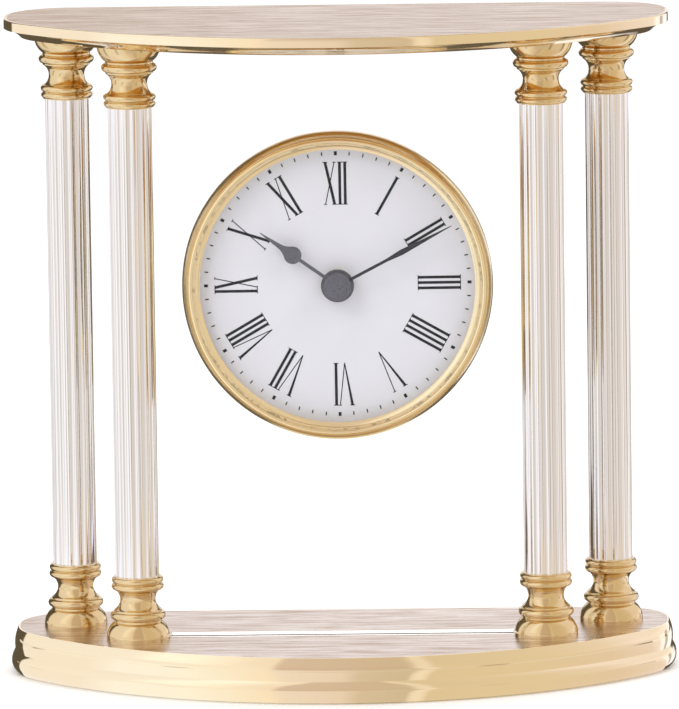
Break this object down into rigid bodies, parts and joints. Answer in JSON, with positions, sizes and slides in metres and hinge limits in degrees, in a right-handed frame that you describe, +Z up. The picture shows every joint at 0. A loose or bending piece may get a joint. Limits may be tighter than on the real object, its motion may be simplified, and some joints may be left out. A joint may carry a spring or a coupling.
{
  "type": "column table clock",
  "caption": "Bow-front table clock: brass base and top plate held apart by fluted columns, with a clear glass panel that carries a round bezel, a Roman dial and spade hands.",
  "frame": {"origin": "bottom centre of the bounding box, on the table under the middle of the base", "axes": "+X to the viewer's right when the dial faces the viewer, +Y to the back, +Z up; the dial faces -Y"},
  "size_m": [0.217, 0.0922, 0.215],
  "materials": {
    "polished_brass": "polished and lacquered",
    "brushed_face": "brushed left to right, champagne anodised",
    "column_metal": "bright polished",
    "steel": "zinc plated",
    "felt": "needled felt",
    "clear_glass": "polished, with ground edges",
    "crystal_glass": "polished",
    "liner": "smooth vinyl",
    "black_rubber": "smooth",
    "dial_paint": "satin white",
    "white_plastic": "moulded",
    "black_plastic": "fine texture",
    "movement_brass": "turned",
    "nickel_spring": "nickel plated",
    "cell_jacket": "gloss wrap",
    "hand_paint": "satin enamel"
  },
  "bodies": {
    "case": {"base_face": "brushed_face", "base_shell": "polished_brass", "bezel": "polished_brass", "bezel_gasket": "black_rubber", "bottom_plate": "steel", "bushing_nut": "movement_brass", "capital_front_left": "polished_brass", "capital_front_right": "polished_brass", "capital_rear_left": "polished_brass", "capital_rear_right": "polished_brass", "centre_bushing": "movement_brass", "clock_can": "black_plastic", "column_front_left": "column_metal", "column_front_right": "column_metal", "column_rear_left": "column_metal", "column_rear_right": "column_metal", "contact_negative": "nickel_spring", "contact_positive": "nickel_spring", "crystal": "crystal_glass", "dial": "dial_paint", "dial_ring": "white_plastic", "felt_pad": "felt", "foot_front_left": "polished_brass", "foot_front_right": "polished_brass", "foot_rear_left": "polished_brass", "foot_rear_right": "polished_brass", "glass_panel": "clear_glass", "movement_lid": "black_plastic", "movement_rear": "black_plastic", "movement_washer": "black_rubber", "ring_nut": "black_plastic", "rod_nut_front_left": "steel", "rod_nut_front_right": "steel", "rod_nut_rear_left": "steel", "rod_nut_rear_right": "steel", "slot_liner_lower": "liner", "slot_liner_upper": "liner", "tie_rod_front_left": "steel", "tie_rod_front_right": "steel", "tie_rod_rear_left": "steel", "tie_rod_rear_right": "steel", "top_face": "brushed_face", "top_plate": "polished_brass"},
    "minute_assembly": {"centre_arbor": "movement_brass", "minute_hand": "hand_paint", "hand_cap": "hand_paint"},
    "hour_assembly": {"hour_wheel": "white_plastic", "hour_hand": "hand_paint"},
    "minute_wheel_arbor": {"minute_wheel": "white_plastic"},
    "setting_arbor": {"set_wheel": "white_plastic", "set_knob": "black_plastic"},
    "battery": {"cell": "cell_jacket"}
  },
  "joints": [
    {"name": "minute_hand_turn", "type": "hinge", "parent": "case", "child": "minute_assembly", "pos_m": [0, 0, 0.13], "axis": [0, 1, 0], "continuous": true},
    {"name": "hour_hand_turn", "type": "hinge", "parent": "case", "child": "hour_assembly", "pos_m": [0, 0, 0.13], "axis": [0, 1, 0], "continuous": true},
    {"name": "minute_wheel_turn", "type": "hinge", "parent": "case", "child": "minute_wheel_arbor", "pos_m": [0.006, 0, 0.14039], "axis": [0, 1, 0], "continuous": true},
    {"name": "setting_knob_turn", "type": "hinge", "parent": "case", "child": "setting_arbor", "pos_m": [0.019, 0, 0.14039], "axis": [0, 1, 0], "continuous": true},
    {"name": "battery_slide", "type": "slide", "parent": "case", "child": "battery", "axis": [0, 1, 0], "range_m": [0, 0.025]}
  ],
  "couplings": [
    {"joint": "hour_hand_turn", "follows": "minute_hand_turn", "ratio": 0.083333},
    {"joint": "minute_wheel_turn", "follows": "minute_hand_turn", "ratio": -0.33333},
    {"joint": "setting_knob_turn", "follows": "minute_hand_turn", "ratio": 0.75}
  ]
}
